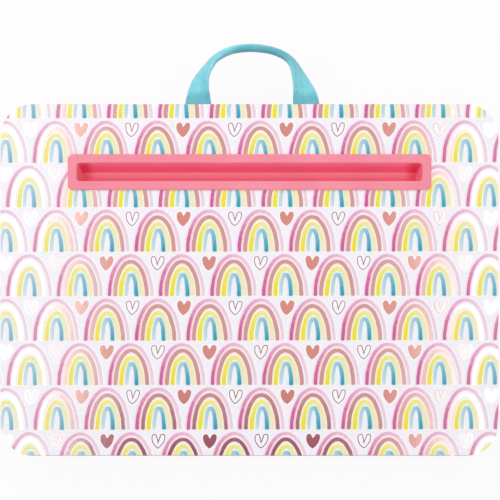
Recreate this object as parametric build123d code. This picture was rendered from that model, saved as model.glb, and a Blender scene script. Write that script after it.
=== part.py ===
from build123d import *
import os
from math import cos, degrees, radians, sin

# Lap desk: a printed board with a moulded tablet tray and a fabric carry handle, on a bead cushion.
# Millimetres. X runs along the long side, +Y towards the handle, +Z up from the face it rests on.
# The origin is the centre of the cushion's resting face, under the board's centre.

os.makedirs("parts", exist_ok=True)

# ---- Board --------------------------------------------------------------------------------------
BOARD_LENGTH = 432.0  # X, 17 in
BOARD_DEPTH = 305.0  # Y, 12 in
BOARD_CORNER_RADIUS = 28.0
BOARD_THICKNESS = 5.0  # MDF core
FILM_THICKNESS = 0.3
BACKING_THICKNESS = 0.3
EDGE_BAND_THICKNESS = 0.4

# ---- Cushion ------------------------------------------------------------------------------------
CUSHION_HEIGHT = 54.7
CUSHION_INSET = 2.0  # widest outline of the cushion, inside the board's
CUSHION_CORNER_RADIUS = 27.0
CUSHION_TOP_ROUND = 8.0
CUSHION_BOTTOM_ROUND = 18.0
TOP_SEAM_DROP = 10.0  # seam of the top panel, below the cushion's top
BOTTOM_SEAM_HEIGHT = 16.0
COVER_THICKNESS = 3.5  # plush: its pile and knitted back
LINER_THICKNESS = 0.4
LAYER_GAP = 0.3  # between cover, liner and beads
POCKET_CLEARANCE = 0.6  # round what is pressed into the cushion's top

# ---- Hot-melt lines -----------------------------------------------------------------------------
GLUE_THICKNESS = 0.3
GLUE_WIDTH = 5.0
GLUE_MARGIN = 24.0  # from the board's edge to the outer lines
GLUE_INNER_LINES = 3

# ---- Slot tray ----------------------------------------------------------------------------------
TRAY_Y = 93.6  # centre of the tray, behind the board's centre
FLANGE_LENGTH = 315.0
FLANGE_DEPTH = 31.0
FLANGE_THICKNESS = 1.6
FLANGE_CORNER_RADIUS = 4.5
FLANGE_EDGE_ROUND = 1.0
SLOT_LENGTH = 300.0  # opening at the flange
SLOT_DEPTH = 15.6
SLOT_CORNER_RADIUS = 3.0
GROOVE_DEPTH = 12.0  # from the flange's top to the groove's floor
GROOVE_FLOOR_DEPTH = 7.6  # flat strip that a tablet's edge stands on
GROOVE_END_DRAFT = 5.5  # how far each end wall leans in
GROOVE_FRONT_DRAFT = 0.3
TRAY_WALL = 2.0
TRAY_CLEARANCE = 0.3  # round the tray in the board's cut-out
RIB_COUNT = 9  # locating ribs under the sloped wall
RIB_THICKNESS = 1.6
RIB_TIP_GAP = 0.1  # from a rib to the cut-out's rear wall
HOOK_COUNT = 5  # along the front wall
HOOK_WIDTH = 8.0
HOOK_CATCH = 1.5  # how far a hook reaches under the board
HOOK_HEIGHT = 3.0
HOOK_CLEARANCE = 0.15  # under the backing paper

# ---- Carry handle -------------------------------------------------------------------------------
HANDLE_X = 2.3  # the handle is stapled on a little to one side
HANDLE_SPAN = 94.0  # between the centres of the strap's two ends
HANDLE_REACH = 49.0  # from the board's edge to the middle of the strap at its top
STRAP_THICKNESS = 3.0
STRAP_ROOT_WIDTH = 22.5  # flat, where it leaves the board
STRAP_WIDTH = 18.5  # gathered, along the grip
STRAP_GATHER = 10.0  # over which the strap narrows
STRAP_FLAT_RUN = 7.0  # stays flat for this far from the fold, then twists
STRAP_TWIST = 76.0  # degrees, at the middle of the grip
TWIST_EASE = 3.0
STRAP_SECTIONS = 28
SLEEVE_WALL = 0.7
SLEEVE_CLEARANCE = 0.1  # between the sleeve and its interlining
INTERLINING_START = 2.0  # along the strap, from the fold
FOLD_OFFSET = 2.4  # from the board's edge to the fold that the handle swings about
FOLD_CLEARANCE = 0.3
STRAP_END_LENGTH = 35.0  # under the board
STRAP_END_THICKNESS = 2.0  # pressed flat by the staples

# ---- Staples ------------------------------------------------------------------------------------
STAPLE_CROWN = 10.0
STAPLE_WIRE_WIDTH = 0.9
STAPLE_WIRE_THICKNESS = 0.6
STAPLE_BITE = 3.2  # into the board
STAPLE_PITCH = 9.0
STAPLE_ROWS = 3
STAPLE_SLOT_CLEARANCE = 0.05

# ---- Levels, from the resting face up -------------------------------------------------------------
BACKING_BOTTOM = CUSHION_HEIGHT + GLUE_THICKNESS
BOARD_BOTTOM = BACKING_BOTTOM + BACKING_THICKNESS
BOARD_TOP = BOARD_BOTTOM + BOARD_THICKNESS
FILM_TOP = BOARD_TOP + FILM_THICKNESS
FLANGE_TOP = FILM_TOP + FLANGE_THICKNESS
GROOVE_FLOOR = FLANGE_TOP - GROOVE_DEPTH
GROOVE_BOTTOM = GROOVE_FLOOR - TRAY_WALL
STRAP_END_BOTTOM = BACKING_BOTTOM - STRAP_END_THICKNESS
FOLD_HEIGHT = BACKING_BOTTOM - STRAP_END_THICKNESS / 2

# ---- Places worked out from the sizes above -------------------------------------------------------
BOARD_REAR = BOARD_DEPTH / 2
FOLD_Y = BOARD_REAR + FOLD_OFFSET
STRAP_END_REAR = FOLD_Y - STRAP_THICKNESS / 2 - FOLD_CLEARANCE
STRAP_END_FRONT = BOARD_REAR - STRAP_END_LENGTH
HANDLE_ROOTS = (HANDLE_X - HANDLE_SPAN / 2, HANDLE_X + HANDLE_SPAN / 2)
LOOP_REACH = HANDLE_REACH - FOLD_OFFSET  # from the fold to the top of the loop

SLOT_FRONT = TRAY_Y - SLOT_DEPTH / 2
CUTOUT_LENGTH = SLOT_LENGTH + 2 * (TRAY_WALL + TRAY_CLEARANCE)
CUTOUT_DEPTH = SLOT_DEPTH + 2 * (TRAY_WALL + TRAY_CLEARANCE)
CUTOUT_RADIUS = SLOT_CORNER_RADIUS + TRAY_WALL + TRAY_CLEARANCE
HOOK_TOP = BACKING_BOTTOM - HOOK_CLEARANCE
POCKET_LENGTH = CUTOUT_LENGTH + 2 * (HOOK_CATCH + POCKET_CLEARANCE)
POCKET_DEPTH = CUTOUT_DEPTH + 2 * (HOOK_CATCH + POCKET_CLEARANCE)
POCKET_FLOOR = min(GROOVE_BOTTOM, HOOK_TOP - HOOK_HEIGHT) - POCKET_CLEARANCE


def rounded_block(length, depth, radius, bottom, top, y=0.0):
    """Upright block with rounded corners, centred on X at the given Y."""
    outline = Pos(0, y, bottom) * RectangleRounded(length, depth, radius)
    return extrude(outline, top - bottom)


def box_between(low, high):
    """Box from its lowest to its highest corner."""
    size = [b - a for a, b in zip(low, high)]
    centre = [(a + b) / 2 for a, b in zip(low, high)]
    return Pos(*centre) * Box(*size)


def spread(count, length):
    """Evenly spaced places along a length, centred on zero."""
    pitch = length / count
    return [(i - (count - 1) / 2) * pitch for i in range(count)]


# ---- Board and its skins --------------------------------------------------------------------------
def tray_cutout(bottom, top, grow=0.0):
    """Opening through a layer of the board for the tray's groove."""
    return rounded_block(
        CUTOUT_LENGTH + 2 * grow, CUTOUT_DEPTH + 2 * grow, CUTOUT_RADIUS + grow, bottom, top, TRAY_Y
    )


def board_layer(bottom, top, inset=0.0):
    """One layer of the board, with the tray's cut-out."""
    block = rounded_block(
        BOARD_LENGTH - 2 * inset, BOARD_DEPTH - 2 * inset, BOARD_CORNER_RADIUS - inset, bottom, top
    )
    return block - tray_cutout(bottom, top)


def make_edge_band():
    """Thin band round the rim of the MDF and its backing paper."""
    outer = rounded_block(BOARD_LENGTH, BOARD_DEPTH, BOARD_CORNER_RADIUS, BACKING_BOTTOM, BOARD_TOP)
    t = EDGE_BAND_THICKNESS
    inner = rounded_block(
        BOARD_LENGTH - 2 * t, BOARD_DEPTH - 2 * t, BOARD_CORNER_RADIUS - t, BACKING_BOTTOM, BOARD_TOP
    )
    return outer - inner


# ---- Slot tray ------------------------------------------------------------------------------------
def groove(grow, top, floor):
    """Tapering body of the groove: long sloped rear wall, upright front, ends that lean in."""
    mouth = RectangleRounded(
        SLOT_LENGTH + 2 * grow, SLOT_DEPTH + 2 * grow, SLOT_CORNER_RADIUS + grow
    )
    foot_y = SLOT_FRONT + GROOVE_FRONT_DRAFT + GROOVE_FLOOR_DEPTH / 2
    foot = RectangleRounded(
        SLOT_LENGTH - 2 * GROOVE_END_DRAFT + 2 * grow,
        GROOVE_FLOOR_DEPTH + 2 * grow,
        SLOT_CORNER_RADIUS / 2 + grow,
    )
    return loft([Pos(0, foot_y, floor) * foot, Pos(0, TRAY_Y, top) * mouth])


def tray_rib(x):
    """Rib under the sloped wall that locates the tray against the cut-out's rear wall."""
    rear = TRAY_Y + CUTOUT_DEPTH / 2 - RIB_TIP_GAP
    front = SLOT_FRONT + GROOVE_FLOOR_DEPTH
    half = RIB_THICKNESS / 2
    return box_between((x - half, front, BACKING_BOTTOM), (x + half, rear, FILM_TOP))


def front_hook(x):
    """Snap hook on the front wall: an upright arm with a catch that slopes away under the board."""
    wall_front = SLOT_FRONT - TRAY_WALL
    edge = TRAY_Y - CUTOUT_DEPTH / 2
    profile = Polygon(
        (SLOT_FRONT, HOOK_TOP),
        (edge - HOOK_CATCH, HOOK_TOP),
        (edge - HOOK_CATCH, HOOK_TOP - HOOK_HEIGHT / 3),
        (wall_front, HOOK_TOP - HOOK_HEIGHT),
        (SLOT_FRONT, HOOK_TOP - HOOK_HEIGHT),
        align=None,
    )
    middle = Plane(origin=(x, 0, 0), x_dir=(0, 1, 0), z_dir=(1, 0, 0))
    return extrude(middle * profile, HOOK_WIDTH / 2, both=True)


def end_hook(side):
    """Snap hook at one end of the groove, on a short arm that drops from the flange."""
    arm_outer = SLOT_LENGTH / 2 + TRAY_WALL
    arm_inner = SLOT_LENGTH / 2 - GROOVE_END_DRAFT
    tip = CUTOUT_LENGTH / 2 + HOOK_CATCH
    profile = Polygon(
        (side * arm_inner, FILM_TOP),
        (side * arm_outer, FILM_TOP),
        (side * arm_outer, HOOK_TOP),
        (side * tip, HOOK_TOP),
        (side * tip, HOOK_TOP - HOOK_HEIGHT / 3),
        (side * arm_outer, HOOK_TOP - HOOK_HEIGHT),
        (side * arm_inner, HOOK_TOP - HOOK_HEIGHT),
        align=None,
    )
    middle = Plane(origin=(0, TRAY_Y, 0), x_dir=(1, 0, 0), z_dir=(0, -1, 0))
    return extrude(middle * profile, HOOK_WIDTH / 2, both=True)


def make_slot_tray():
    """Moulded tray: raised flange, groove with a sloped back, locating ribs and snap hooks."""
    flange = rounded_block(
        FLANGE_LENGTH, FLANGE_DEPTH, FLANGE_CORNER_RADIUS, FILM_TOP, FLANGE_TOP, TRAY_Y
    )
    rim = flange.edges().filter_by(Plane.XY).group_by(Axis.Z)[-1]
    tray = fillet(rim, min(FLANGE_EDGE_ROUND, 0.8 * FLANGE_THICKNESS))
    tray += groove(TRAY_WALL, FLANGE_TOP - FLANGE_THICKNESS / 2, GROOVE_BOTTOM)
    for x in spread(RIB_COUNT, SLOT_LENGTH - 2 * GROOVE_END_DRAFT):
        tray += tray_rib(x)
    for x in spread(HOOK_COUNT, SLOT_LENGTH - 2 * GROOVE_END_DRAFT):
        tray += front_hook(x)
    for side in (-1, 1):
        tray += end_hook(side)
    return tray - groove(0, FLANGE_TOP, GROOVE_FLOOR)


# ---- Cushion --------------------------------------------------------------------------------------
def strap_pocket(root_x, grow):
    """Hollow that a stapled strap end presses into the cushion's top, open to the rear."""
    half = STRAP_ROOT_WIDTH / 2 + POCKET_CLEARANCE + grow
    floor = STRAP_END_BOTTOM - STAPLE_WIRE_THICKNESS - POCKET_CLEARANCE - grow
    front = STRAP_END_FRONT - POCKET_CLEARANCE - grow
    return box_between((root_x - half, front, floor), (root_x + half, FOLD_Y, BOARD_TOP))


def cushion_block(inset):
    """Soft block that follows the board's outline, drawn in by an even inset all round."""
    side = 2 * (CUSHION_INSET + inset)
    block = rounded_block(
        BOARD_LENGTH - side,
        BOARD_DEPTH - side,
        CUSHION_CORNER_RADIUS - inset,
        inset,
        CUSHION_HEIGHT - inset,
    )
    rims = block.edges().filter_by(Plane.XY).group_by(Axis.Z)
    block = fillet(rims[-1], CUSHION_TOP_ROUND - inset)
    block = fillet(block.edges().filter_by(Plane.XY).group_by(Axis.Z)[0], CUSHION_BOTTOM_ROUND - inset)
    block -= rounded_block(
        POCKET_LENGTH + 2 * inset,
        POCKET_DEPTH + 2 * inset,
        CUTOUT_RADIUS + HOOK_CATCH + POCKET_CLEARANCE + inset,
        POCKET_FLOOR - inset,
        BOARD_TOP,
        TRAY_Y,
    )
    for root_x in HANDLE_ROOTS:
        block -= strap_pocket(root_x, inset)
    return block


def half_space(bottom, top, front=-BOARD_DEPTH, rear=BOARD_DEPTH):
    """Box wider than the desk between two heights and two depths."""
    return box_between((-BOARD_LENGTH, front, bottom), (BOARD_LENGTH, rear, top))


def make_cover_panels():
    """The cover's shell, cut at its seams into top panel, two boxing lengths and bottom panel."""
    shell = cushion_block(0) - cushion_block(COVER_THICKNESS)
    top_seam = CUSHION_HEIGHT - TOP_SEAM_DROP
    top_region = half_space(top_seam, BOARD_TOP)
    pocket_margin = COVER_THICKNESS + POCKET_CLEARANCE
    top_region += rounded_block(
        POCKET_LENGTH + 2 * pocket_margin,
        POCKET_DEPTH + 2 * pocket_margin,
        CUTOUT_RADIUS + HOOK_CATCH + POCKET_CLEARANCE + pocket_margin,
        POCKET_FLOOR - pocket_margin,
        BOARD_TOP,
        TRAY_Y,
    )
    walls = shell - top_region
    return {
        "cushion_top_panel": shell & top_region,
        "cushion_band_front": walls & half_space(BOTTOM_SEAM_HEIGHT, top_seam, rear=0),
        "cushion_band_rear": walls & half_space(BOTTOM_SEAM_HEIGHT, top_seam, front=0),
        "cushion_bottom_panel": walls & half_space(-COVER_THICKNESS, BOTTOM_SEAM_HEIGHT),
    }


def make_liner_panels():
    """Thin inner bag for the beads, in an upper and a lower panel sewn at mid height."""
    outside = COVER_THICKNESS + LAYER_GAP
    shell = cushion_block(outside) - cushion_block(outside + LINER_THICKNESS)
    seam = (BOTTOM_SEAM_HEIGHT + CUSHION_HEIGHT - TOP_SEAM_DROP) / 2
    return {
        "liner_top_panel": shell & half_space(seam, BOARD_TOP),
        "liner_bottom_panel": shell & half_space(0, seam),
    }


def glue_line(length, x, y, angle=0):
    """One flattened hot-melt line with round ends."""
    line = SlotOverall(length, GLUE_WIDTH, rotation=angle)
    return extrude(Pos(x, y, CUSHION_HEIGHT) * line, GLUE_THICKNESS)


def make_glue_lines():
    """Hot-melt lines between the cushion's top panel and the backing paper."""
    side_x = BOARD_LENGTH / 2 - GLUE_MARGIN
    front_y = GLUE_MARGIN - BOARD_DEPTH / 2
    rear_y = BOARD_REAR - GLUE_MARGIN
    pocket_front = TRAY_Y - POCKET_DEPTH / 2
    lines = [glue_line(2 * (side_x - GLUE_MARGIN), 0, front_y)]
    for side in (-1, 1):
        lines.append(glue_line(BOARD_DEPTH - 4 * GLUE_MARGIN, side * side_x, 0, 90))
        root_x = HANDLE_X + side * HANDLE_SPAN / 2
        inner = root_x + side * (STRAP_ROOT_WIDTH / 2 + GLUE_MARGIN / 2)
        outer = side * (side_x - GLUE_MARGIN)
        lines.append(glue_line(abs(outer - inner), (outer + inner) / 2, rear_y))
    pitch = (pocket_front - front_y) / (GLUE_INNER_LINES + 1)
    for i in range(GLUE_INNER_LINES):
        lines.append(glue_line(2 * (side_x - 2 * GLUE_MARGIN), 0, front_y + (i + 1) * pitch))
    return Compound(children=lines)


# ---- Carry handle ---------------------------------------------------------------------------------
def strap_section(turn, width_cut, thickness):
    """The strap's cross-section at a turn of 0 to 180 degrees round the loop."""
    u = radians(turn)
    run = LOOP_REACH * sin(u)
    beyond_flat = max(0.0, (run - STRAP_FLAT_RUN) / (LOOP_REACH - STRAP_FLAT_RUN))
    twist = radians(STRAP_TWIST) * (1 - (1 - beyond_flat) ** TWIST_EASE)
    gathered = min(1.0, run / STRAP_GATHER)
    width = STRAP_ROOT_WIDTH + (STRAP_WIDTH - STRAP_ROOT_WIDTH) * gathered - width_cut
    centre = Vector(HANDLE_X + HANDLE_SPAN / 2 * cos(u), FOLD_Y + run, FOLD_HEIGHT)
    along = Vector(-HANDLE_SPAN / 2 * sin(u), LOOP_REACH * cos(u), 0).normalized()
    outward = along.cross(Vector(0, 0, 1))
    across = outward * cos(twist) + Vector(0, 0, 1) * sin(twist)
    return Plane(origin=centre, x_dir=across, z_dir=along) * Rectangle(width, thickness)


def strap_body(start, skin):
    """Twisted strap that starts some way along from its folds and lies a skin's depth inside it."""
    first_turn = degrees(start / LOOP_REACH)
    step = (180 - 2 * first_turn) / (STRAP_SECTIONS - 1)
    turns = [first_turn + i * step for i in range(STRAP_SECTIONS)]
    sections = [strap_section(turn, 2 * skin, STRAP_THICKNESS - 2 * skin) for turn in turns]
    return loft(sections, ruled=True)


def make_handle():
    """The swinging sleeve with its rounded folds, and the interlining inside it."""
    hollow = strap_body(INTERLINING_START - SLEEVE_CLEARANCE, SLEEVE_WALL)
    interlining = strap_body(INTERLINING_START, SLEEVE_WALL + SLEEVE_CLEARANCE)
    sleeve = strap_body(0, 0)
    for root_x in HANDLE_ROOTS:
        fold = Cylinder(STRAP_THICKNESS / 2, STRAP_ROOT_WIDTH, rotation=(0, 90, 0))
        sleeve += Pos(root_x, FOLD_Y, FOLD_HEIGHT) * fold
    return {"handle_loop": sleeve - hollow, "handle_interlining": interlining}


# ---- Strap ends and staples -------------------------------------------------------------------------
def staple_places(root_x):
    """Centre of each staple's crown on one strap end."""
    middle = (STRAP_END_FRONT + BOARD_REAR) / 2
    return [(root_x, middle + y) for y in spread(STAPLE_ROWS, STAPLE_ROWS * STAPLE_PITCH)]


def staple_legs(x, y, grow=0.0):
    """The two legs of a staple, or the slots for them."""
    across = STAPLE_WIRE_THICKNESS / 2 + grow
    along = STAPLE_WIRE_WIDTH / 2 + grow
    reach = STAPLE_CROWN / 2 - STAPLE_WIRE_THICKNESS / 2
    top = BOARD_BOTTOM + STAPLE_BITE + grow
    return [
        box_between(
            (x + side * reach - across, y - along, STRAP_END_BOTTOM),
            (x + side * reach + across, y + along, top),
        )
        for side in (-1, 1)
    ]


def make_staple(x, y):
    """One wire staple: crown under the strap, legs up into the board."""
    crown = box_between(
        (x - STAPLE_CROWN / 2, y - STAPLE_WIRE_WIDTH / 2, STRAP_END_BOTTOM - STAPLE_WIRE_THICKNESS),
        (x + STAPLE_CROWN / 2, y + STAPLE_WIRE_WIDTH / 2, STRAP_END_BOTTOM),
    )
    for leg in staple_legs(x, y):
        crown += leg
    return crown


def all_staple_places():
    return [place for root_x in HANDLE_ROOTS for place in staple_places(root_x)]


def cut_staple_slots(solid):
    """Slots for every staple's legs."""
    for x, y in all_staple_places():
        for slot in staple_legs(x, y, STAPLE_SLOT_CLEARANCE):
            solid -= slot
    return solid


def make_strap_end(root_x):
    """Flat end of the strap under the board, from its tip to the fold."""
    half = STRAP_ROOT_WIDTH / 2
    flat = box_between(
        (root_x - half, STRAP_END_FRONT, STRAP_END_BOTTOM),
        (root_x + half, STRAP_END_REAR, BACKING_BOTTOM),
    )
    return cut_staple_slots(flat)


def make_parts():
    parts = {
        "top_board": cut_staple_slots(board_layer(BOARD_BOTTOM, BOARD_TOP, EDGE_BAND_THICKNESS)),
        "printed_film": board_layer(BOARD_TOP, FILM_TOP),
        "backing_paper": cut_staple_slots(
            board_layer(BACKING_BOTTOM, BOARD_BOTTOM, EDGE_BAND_THICKNESS)
        ),
        "edge_band": make_edge_band(),
        "slot_tray": make_slot_tray(),
        "handle_end_left": make_strap_end(HANDLE_ROOTS[0]),
        "handle_end_right": make_strap_end(HANDLE_ROOTS[1]),
        "handle_staples": Compound(children=[make_staple(x, y) for x, y in all_staple_places()]),
        "glue_lines": make_glue_lines(),
        "bead_filling": cushion_block(COVER_THICKNESS + LINER_THICKNESS + 2 * LAYER_GAP),
    }
    parts.update(make_handle())
    parts.update(make_cover_panels())
    parts.update(make_liner_panels())
    return parts


for node, shape in make_parts().items():
    export_step(shape, f"parts/{node}.step")
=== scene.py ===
import bmesh
import bpy
import math
from functools import partial
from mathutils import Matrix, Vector, noise


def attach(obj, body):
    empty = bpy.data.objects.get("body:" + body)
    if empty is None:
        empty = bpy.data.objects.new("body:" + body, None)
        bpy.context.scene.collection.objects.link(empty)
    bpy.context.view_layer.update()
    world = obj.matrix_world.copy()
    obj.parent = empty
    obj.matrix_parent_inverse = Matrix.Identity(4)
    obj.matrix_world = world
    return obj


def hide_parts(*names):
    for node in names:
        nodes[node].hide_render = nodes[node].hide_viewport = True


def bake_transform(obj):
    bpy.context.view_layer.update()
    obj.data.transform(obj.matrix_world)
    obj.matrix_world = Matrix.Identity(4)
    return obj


# Lap desk: printed board, moulded tablet tray and woven carry strap, on a plush bead cushion.
# Sizes below are in millimetres, as in the part's source, and turned to metres where they are used.

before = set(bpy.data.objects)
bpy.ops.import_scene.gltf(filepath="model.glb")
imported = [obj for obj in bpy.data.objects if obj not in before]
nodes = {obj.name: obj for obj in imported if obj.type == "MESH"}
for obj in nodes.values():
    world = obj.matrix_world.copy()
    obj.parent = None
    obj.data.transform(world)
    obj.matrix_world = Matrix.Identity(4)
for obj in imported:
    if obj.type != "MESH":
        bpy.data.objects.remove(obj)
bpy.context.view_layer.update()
MM = 0.001

# Levels and places of the desk, from the face it rests on up
BOARD_LENGTH, BOARD_DEPTH, BOARD_CORNER = 432.0, 305.0, 28.0
CUSHION_TOP = 54.7
BACKING_BOTTOM, BOARD_TOP, FILM_TOP = 55.0, 60.3, 60.6
FLANGE_TOP, GROOVE_FLOOR, GROOVE_BOTTOM = 62.2, 50.2, 48.2
TRAY_Y = 93.6  # the tray's middle line
SLOT_HALF_LENGTH, SLOT_HALF_DEPTH = 150, 7.8
FOLD_Z = 54.0  # height of the fold that the handle swings about
STRAP_ENDS = (-44.7, 49.3)  # where the two strap ends are stapled
HAIR = 0.01  # a test on a level allows this much


# ---- Working by hand: selecting, and shaping what is selected ----
def deselect():
    bpy.ops.object.select_all(action="DESELECT")


def leave_edit():
    bpy.ops.object.mode_set(mode="OBJECT")


def alone(piece):
    """Selects one piece and nothing else."""
    if bpy.context.mode != "OBJECT":
        leave_edit()
    deselect()
    piece.select_set(True)
    bpy.context.view_layer.objects.active = piece
    return piece


def block(name, low, high):
    """Box between its lowest and highest corner."""
    deselect()
    size = [(b - a) * MM for a, b in zip(low, high)]
    centre = [(a + b) / 2 * MM for a, b in zip(low, high)]
    bpy.ops.mesh.primitive_cube_add(size=1, location=centre, scale=size)
    return settle(name)


def settle(name):
    """Names the new primitive and puts its place into its mesh."""
    piece = bpy.context.object
    piece.name = piece.data.name = name
    bpy.ops.object.transform_apply(location=True, rotation=True, scale=True)
    return piece


def pick(piece, part, wanted):
    """In edit mode, selects the faces, edges or vertices that pass a test, in millimetres."""
    alone(piece)
    bpy.ops.object.mode_set(mode="EDIT")
    bpy.ops.mesh.select_mode(type=part)
    bpy.ops.mesh.select_all(action="DESELECT")
    mesh = bmesh.from_edit_mesh(piece.data)
    mesh.normal_update()
    if part == "FACE":
        for face in mesh.faces:
            face.select_set(bool(wanted(face.calc_center_median() / MM, face.normal)))
    elif part == "EDGE":
        for edge in mesh.edges:
            a, b = (v.co / MM for v in edge.verts)
            edge.select_set(bool(wanted((a + b) / 2, (b - a).normalized())))
    else:
        for vert in mesh.verts:
            vert.select_set(bool(wanted(vert.co / MM, vert.normal)))
    mesh.select_flush_mode()
    bmesh.update_edit_mesh(piece.data)


def slide(piece, wanted, x, y):
    """Moves the vertices that pass a test, by millimetres."""
    pick(piece, "VERT", wanted)
    bpy.ops.transform.translate(value=(x * MM, y * MM, 0))
    leave_edit()


def round_edges(piece, wanted, radius, steps):
    """Bevels the edges that pass the test to a round."""
    pick(piece, "EDGE", wanted)
    bpy.ops.mesh.bevel(offset=radius * MM, segments=steps, affect="EDGES", clamp_overlap=True)
    leave_edit()


def finish_with(piece, kind, **settings):
    """Adds one modifier and applies it."""
    alone(piece)
    modifier = piece.modifiers.new(kind.title(), kind)
    for name, value in settings.items():
        setattr(modifier, name, value)
    bpy.ops.object.modifier_apply(modifier=modifier.name)
    return piece


def combine(piece, other, operation):
    """Joins or cuts with another closed piece, which is used up."""
    finish_with(piece, "BOOLEAN", object=other, operation=operation, solver="EXACT")
    bpy.data.objects.remove(other)


def smooth(piece, angle=35):
    alone(piece)
    bpy.ops.object.shade_smooth_by_angle(angle=math.radians(angle))
    return piece


def upright(middle, direction):
    return abs(direction.z) > 0.99


# ---- Materials ----
def linear(code):
    """An sRGB hex value as a linear colour."""
    values = [int(code[i : i + 2], 16) / 255 for i in (1, 3, 5)]
    return [v / 12.92 if v <= 0.04045 else ((v + 0.055) / 1.055) ** 2.4 for v in values] + [1.0]


# What the second word of a node's kind sets, as in "Math MULTIPLY_ADD"
MODES = {
    "Math": "operation", "VectorMath": "operation",
    "Mix": "data_type", "MapRange": "interpolation_type",
}


def add_node(tree, kind, inputs=(), out=0, stops=None, **settings):
    """Adds one node with its settings and its inputs, each a value, a hex colour or a link.

    The inputs are in the node's order, or by name or number. Those of a MapRange are its value,
    the range that it comes from and the one that it goes to.
    """
    kind, _, mode = kind.partition(" ")
    if mode == "RGBA":  # the colour sockets of a Mix come after its other ones
        inputs, out = dict(zip((0, 6, 7), inputs)), 2
    node = tree.nodes.new("ShaderNode" + kind)
    if mode:
        settings[MODES[kind]] = mode
    for name, value in settings.items():
        setattr(node, name, value)
    if stops:
        elements = node.color_ramp.elements
        while len(elements) < len(stops):
            elements.new(0.5)
        for element, (place, colour) in zip(elements, stops):
            element.position, element.color = place, linear(colour)
    for name, value in inputs.items() if isinstance(inputs, dict) else enumerate(inputs):
        if isinstance(value, bpy.types.NodeSocket):
            tree.links.new(value, node.inputs[name])
        else:
            node.inputs[name].default_value = linear(value) if isinstance(value, str) else value
    return node.outputs[out]


def new_material(name, colour, roughness, **shader_settings):
    """A material with one Principled shader: gives what adds its nodes and what completes it."""
    material = bpy.data.materials.new(name)
    material.use_nodes = True
    tree = material.node_tree
    add = partial(add_node, tree)
    shader = tree.nodes["Principled BSDF"]
    shader.inputs["Base Color"].default_value = linear(colour)
    shader.inputs["Roughness"].default_value = roughness
    for setting, value in shader_settings.items():
        socket = setting.replace("_", " ").title().replace("Ior", "IOR")
        shader.inputs[socket].default_value = linear(value) if isinstance(value, str) else value

    def complete(relief=None, hollow=False, **outputs):
        """Links the shader, and a bump from a height, its strength and its depth, if any."""
        if relief:
            bump = dict(zip(("Height", "Strength", "Distance"), relief))
            outputs["Normal"] = add("Bump", bump, invert=hollow)
        for socket, output in outputs.items():
            tree.links.new(output, shader.inputs[socket.replace("_", " ")])
        return material

    return add, complete


def wear(piece, material):
    """Gives the whole piece one material."""
    piece.data.materials.clear()
    piece.data.materials.append(material)
    return piece


# Print: rows of arches, each of four strokes, with hearts between them. Millimetres.
ARCH_PITCH, ROW_PITCH = 44.31, 38.59
FEET_Y = 141.3  # of the rearmost whole row
FEET_MARGIN = 2.0  # a row's ground starts this far below its feet
ARCH_START = 58.26  # phase of the arches along a row
ODD_ROW_SHIFT = 20.8  # of every other row
ASKEW, ROWS_ASKEW = 0.00405, 0.00128  # the paper went on a hair askew
STRETCH = 0.76  # the rollers drew it this much out of place, halfway to either end
BLUNT_FEET = 1.8  # a stroke's foot ends this much shorter than a round end
SHARPNESS = 4.0  # ink starts within a quarter of a millimetre, as in an offset print
HALO = 1.8  # the ground is left whiter for this far beside each stroke
ARCHES = (  # middle, half width and height of the stroke's middle line, width of the stroke
    ("pink", 0.2, 18.45, 34.2, 2.85),
    ("underprint", 0.65, 13.7, 29.0, 2.9),  # below the foil, and a little out of register with it
    ("foil", 0.35, 13.7, 29.1, 3.15),
    ("yellow", 0.8, 8.95, 22.95, 3.6),
    ("blue", 0.75, 4.25, 17.4, 3.3),
)
# Hearts: their place between two arches, a little further on in odd rows, their height above
# the feet and their lean; then one half's two arcs, with their radii, and the level of the join
HEART_PHASE, ODD_HEART_SHIFT, HEART_RISE, HEART_LEAN = 0.518, 0.95, 20.9, -0.07
FLANK, FLANK_RADIUS = (-5.7, 10.4, 0.0), 11.6
LOBE, LOBE_RADIUS, SHOULDER = (3.5, 10.55, 0.0), 2.4, 10.6
HEART_LINE = 0.4  # half the width of its outline
NOTCHES = (((-0.862, 0.507, 0.0), 9.1), ((-0.959, 0.282, 0.0), 6.9))  # normal and level of the V
GLARE_MIDDLE, GLARE_SPAN, MOST_GLARE = 8.0, (95.0, 200.0), 0.8  # of the painted glare that pales the foil towards the ends: its middle, its span and its most
INK_GLARE_ENDS = ((-95.0, -200.0, 0.22), (140.0, 210.0, 0.1))  # of the painted glare on the inks: from, to and how much, left and right
FRONT_SHADE_Y = 151.7  # where the painted shade along the front edge begins
INKS = {
    "pink": (
        (0.0, "#C75D96"), (0.12, "#D26C9D"), (0.27, "#DF9DC0"),
        (0.5, "#EABAD2"), (0.72, "#EDCEDE"), (1.0, "#E9D4E2"),
    ),
    "yellow": (
        (0.0, "#EBDE34"), (0.18, "#F0E048"), (0.33, "#F1E46A"),
        (0.5, "#F2E68E"), (0.72, "#F3EAB2"), (1.0, "#F1E8C6"),
    ),
    "blue": (
        (0.0, "#D3DFE6"), (0.2, "#BFD7DF"), (0.38, "#B8D4DE"),
        (0.53, "#9CC8D5"), (0.77, "#5BACC0"), (1.0, "#2F99AE"),
    ),
}


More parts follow.
